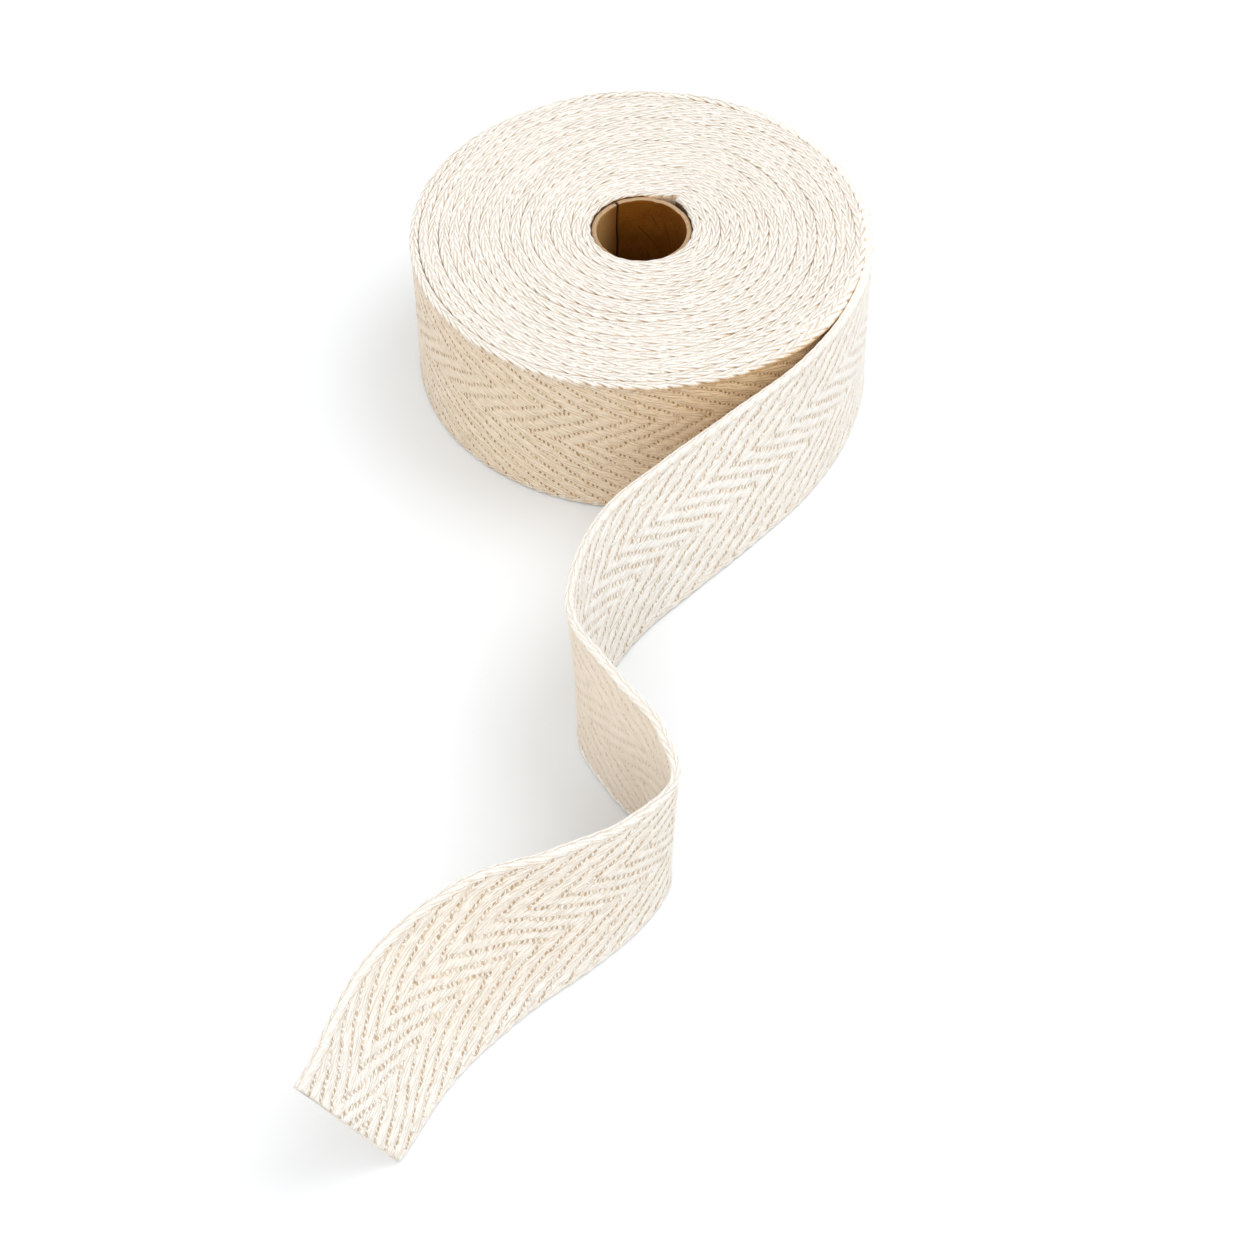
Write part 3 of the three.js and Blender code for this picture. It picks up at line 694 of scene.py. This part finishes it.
# ------------------------------------------------------------------ the core
def core_tube():
    """The card tube: a closed grid of sections round the axis."""
    seam = math.radians(SEAM_DEG)
    inner = CORE_R - CORE_WALL
    wide = np.radians(np.linspace(3, 357, 300))
    close = np.radians(np.concatenate([np.linspace(-3, 3, 41)]))
    ang = np.sort(np.concatenate([seam + wide, seam + close[1:-1], [seam - math.radians(3)]]))
    ang = np.unique(np.round((ang - seam + math.pi * 2) % (2 * math.pi), 6)) + seam
    z_in = np.linspace(RIM_Z - 0.35, 0.4, 58)
    rows = [(CORE_R, z, 0) for z in (0.3, 12.0, 24.0, 36.0, RIM_Z - 0.5)]
    rows += [(CORE_R - 0.10, RIM_Z - 0.15, 1), (CORE_R - 0.40, RIM_Z, 1), (CORE_R - 0.8, RIM_Z, 1),
             (inner + 0.4, RIM_Z, 1), (inner + 0.10, RIM_Z - 0.10, 1)]
    rows += [(inner, z, 2) for z in z_in]
    rows += [(inner + 0.2, 0.0, 3), (inner + 0.8, 0.0, 3), (CORE_R - 0.2, 0.0, 3)]
    n, m = len(ang), len(rows)
    pos, uv, deep = np.zeros((n, m, 3)), np.zeros((n, m, 2)), np.zeros((n, m))
    for j, (r, z, part) in enumerate(rows):
        rr = np.full(n, r)
        zz = np.full(n, z)
        d = np.zeros(n)
        # the butt seam wanders a little, and hooks over at the rim
        at = seam + math.radians(0.55 * float(noise(z, 6.0, 71)) - 0.4 * max(0.0, (z - 44.5) / 4.0) * 2.2)
        gap = np.exp(-(np.abs((ang - at + math.pi) % (2 * math.pi) - math.pi) * inner / 0.33) ** 4)
        if part in (1, 2):
            rr = rr + np.where(part == 2, 0.9, 0.0) * gap
            zz = zz - (0.5 * gap if part == 1 else 0)
            d = gap
        if part == 2:
            ripple = 0.07 * noise(ang * inner + 40, 6.0, 72) + 0.06 * noise(ang * inner * 0.4 + z * 0.55, 5.0, 73)
            rr = rr + ripple * step(RIM_Z, RIM_Z - 3, z)
        if part == 1:
            nick = np.clip(noise(ang * inner, 1.7, 74) - 0.35, 0, 1) * 0.55 + np.clip(noise(ang * inner, 4.5, 75) - 0.2, 0, 1) * 0.35
            zz = zz - nick * (0.6 if r > inner + 0.3 else 1.0)
            rr = rr + (0.12 * noise(ang * inner, 2.2, 76) if r < inner + 0.3 else 0)
        # the rim lies a little lower at the front
        zz = zz + (0.60 * np.sin(ang) + 0.35) * float(step(30.0, RIM_Z - 1.0, z))
        pos[:, j] = np.stack([CORE_X + rr * np.cos(ang), CORE_Y + rr * np.sin(ang), zz], -1)
        uv[:, j, 0] = (ang - seam) * inner
        uv[:, j, 1] = z if part in (0, 2) else (RIM_Z + (r - inner) if part == 1 else -(r - inner))
        deep[:, j] = d
    P = ((pos + SHIFT) * MM).reshape(-1, 3)
    i = np.arange(n)[:, None]
    i2 = (i + 1) % n
    j = np.arange(m)[None, :]
    k = (j + 1) % m
    quads = np.stack([i * m + j, i2 * m + j, i2 * m + k, i * m + k], -1).reshape(-1, 4)
    c = P.mean(0)
    a, b, cc, dd = (P[quads[:, q]] - c for q in range(4))
    volume = (np.einsum("ij,ij->i", a, np.cross(b, cc)) + np.einsum("ij,ij->i", a, np.cross(cc, dd))).sum()
    if volume < 0:
        quads = quads[:, ::-1]
    mesh = bpy.data.meshes.new("core_card")
    mesh.from_pydata(P.tolist(), [], quads.tolist())
    mesh.update()
    U = uv.copy().reshape(-1, 2)
    index = quads.ravel()
    luv = U[index].reshape(-1, 4, 2)
    turn = 2 * math.pi * inner
    last = luv[:, :, 0].max(1) - luv[:, :, 0].min(1) > turn / 2
    luv[last, :, 0] = np.where(luv[last, :, 0] < turn / 2, luv[last, :, 0] + turn, luv[last, :, 0])
    layer = mesh.uv_layers.new(name="weave")
    layer.data.foreach_set("uv", luv.astype(np.float32).ravel())
    sunk = mesh.attributes.new("sunk", "FLOAT", "POINT")
    sunk.data.foreach_set("value", deep.astype(np.float32).ravel())
    mesh.polygons.foreach_set("use_smooth", np.ones(len(mesh.polygons), bool))
    ob = bpy.data.objects.new("core_card", mesh)
    bpy.context.scene.collection.objects.link(ob)
    return ob


# ----------------------------------------------------------------- the build
cloth = cotton("cotton_webbing_cloth")
s_one, s_split, s_end = lap_to_s(1.0), lap_to_s(SPLIT_LAP), lap_to_s(LAPS)

# painted shade: the wound turns' wall, the loose end's inner face and a band on its outer face
# are tinted a darker, warmer cream for the shade they lie in. The tint is strongest in the nook where the end leaves,
# where it stands in for light coming golden through the cloth. A painted shadow line
# runs on the innermost lap's inner face where it meets the card's rim.
def painted_shade_loose(part, s, w, v):
    face = step(0.9, -0.9, v) * (0.3 if part == "top" else 1.0)
    shade = 0.32 * step(225.0, 300.0, s) * step(364.0, 310.0, s) * step(2.0, 14.0, w) * (part == "outer")
    return shade + (0.95 - 0.20 * step(20.0, 90.0, s)) * face + 0.9 * step(60.0, 0.0, s) * step(-0.5, -1.0, v)


def painted_shade_wound(part, s, w, v):
    lap = np.interp(s, SP_S, SP_LAP)
    nook = step(0.66, 0.86, lap)
    if part == "top":
        return 0.12 * step(-50.0, -170.0, s) * step(-0.6, 1.0, v) + 1.05 * step(0.76, 0.84, lap) * step(0.90, 0.85, lap) * step(-0.6, 0.6, v)
    return (step(-50.0, -150.0, s) * (1 - 0.30 * step(0.62, 0.50, lap)) + nook) * (0.55 + 0.45 * step(-1.0, 1.0, v))


def painted_shade_inner(part, s, w, v):
    lap = np.interp(s, SP_S, SP_LAP)
    last = step(LAPS - 1.1, LAPS - 1.0, lap)
    if part == "inner":
        return last * (1.3 + 1.7 * step(LAPS - 0.95, LAPS - 0.88, lap))
    return last * 0.7 * float(step(-0.2, -0.9, v))


loose = strip("webbing_end", loose_at, 0.0, LOOSE_LENGTH, 0.62, "fine", painted_shade_loose)
outer = strip("webbing_outer_turn", wound_at, s_one, 0.0, 0.5, "outer", painted_shade_wound)
turns_a = strip("webbing_turns_outer", wound_at, s_split, s_one, 0.72, "inner", painted_shade_inner, seed=3)
turns_b = strip("webbing_turns_inner", wound_at, s_end, s_split, 0.45, "inner", painted_shade_inner, seed=3)
core = core_tube()

for ob in (loose, outer, turns_a, turns_b):
    ob.data.materials.append(cloth)
    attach(ob, "root")
core.data.materials.append(cardboard("core_cardboard"))
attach(core, "root")

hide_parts("webbing_loose_end")
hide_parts("webbing_wound")
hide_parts("core_tube")

# ----------------------------------------------------------------- the stage
scene = bpy.context.scene
bpy.ops.mesh.primitive_plane_add(size=6.0, location=(0, 0, 0))
floor = bpy.context.object
floor.name = "studio_floor"
paper = Nodes("studio_paper")
grain = paper.noise(paper.new("ShaderNodeTexCoord").outputs["Object"], 60.0, 2.0)
paper_shader = paper.new("ShaderNodeBsdfPrincipled")
paper.put(paper_shader.inputs["Base Color"], paper.mix(grain, (0.812, 0.832, 0.844), (0.818, 0.838, 0.850)))
paper_shader.inputs["Roughness"].default_value = 1.0
paper_shader.inputs["Specular IOR Level"].default_value = 0.0
paper_out = paper.new("ShaderNodeOutputMaterial")
paper.tree.links.new(paper_shader.outputs[0], paper_out.inputs[0])
floor.data.materials.append(paper.mat)

world = bpy.data.worlds.new("studio")
world.use_nodes = True
world.node_tree.nodes["Background"].inputs[0].default_value = (1.0, 1.0, 1.0, 1.0)
world.node_tree.nodes["Background"].inputs[1].default_value = 0.98
scene.world = world


def area(name, at, toward, size, power, colour=(1, 1, 1)):
    from mathutils import Vector
    lamp = bpy.data.lights.new(name, "AREA")
    lamp.shape = "DISK"
    lamp.size = size
    lamp.energy = power
    lamp.color = colour
    ob = bpy.data.objects.new(name, lamp)
    ob.location = at
    ob.rotation_euler = (Vector(toward) - Vector(at)).to_track_quat("-Z", "Y").to_euler()
    scene.collection.objects.link(ob)
    return ob


area("key", (1.10, 0.45, 1.85), (0, 0, 0), 1.8, 18.0)
area("fill", (-0.40, -1.55, 1.00), (0, 0, 0.03), 1.2, 9.6)

lens = bpy.data.cameras.new("view")
lens.lens = 66.03
lens.sensor_width = 36.0
lens.sensor_fit = "AUTO"
lens.clip_start, lens.clip_end = 0.01, 20.0
camera = bpy.data.objects.new("view", lens)
camera.location = (-0.000447, -0.437344, 0.495340)
camera.rotation_euler = (math.radians(41.094), 0.0, 0.0)
scene.collection.objects.link(camera)
scene.camera = camera
scene.view_settings.view_transform = "Standard"
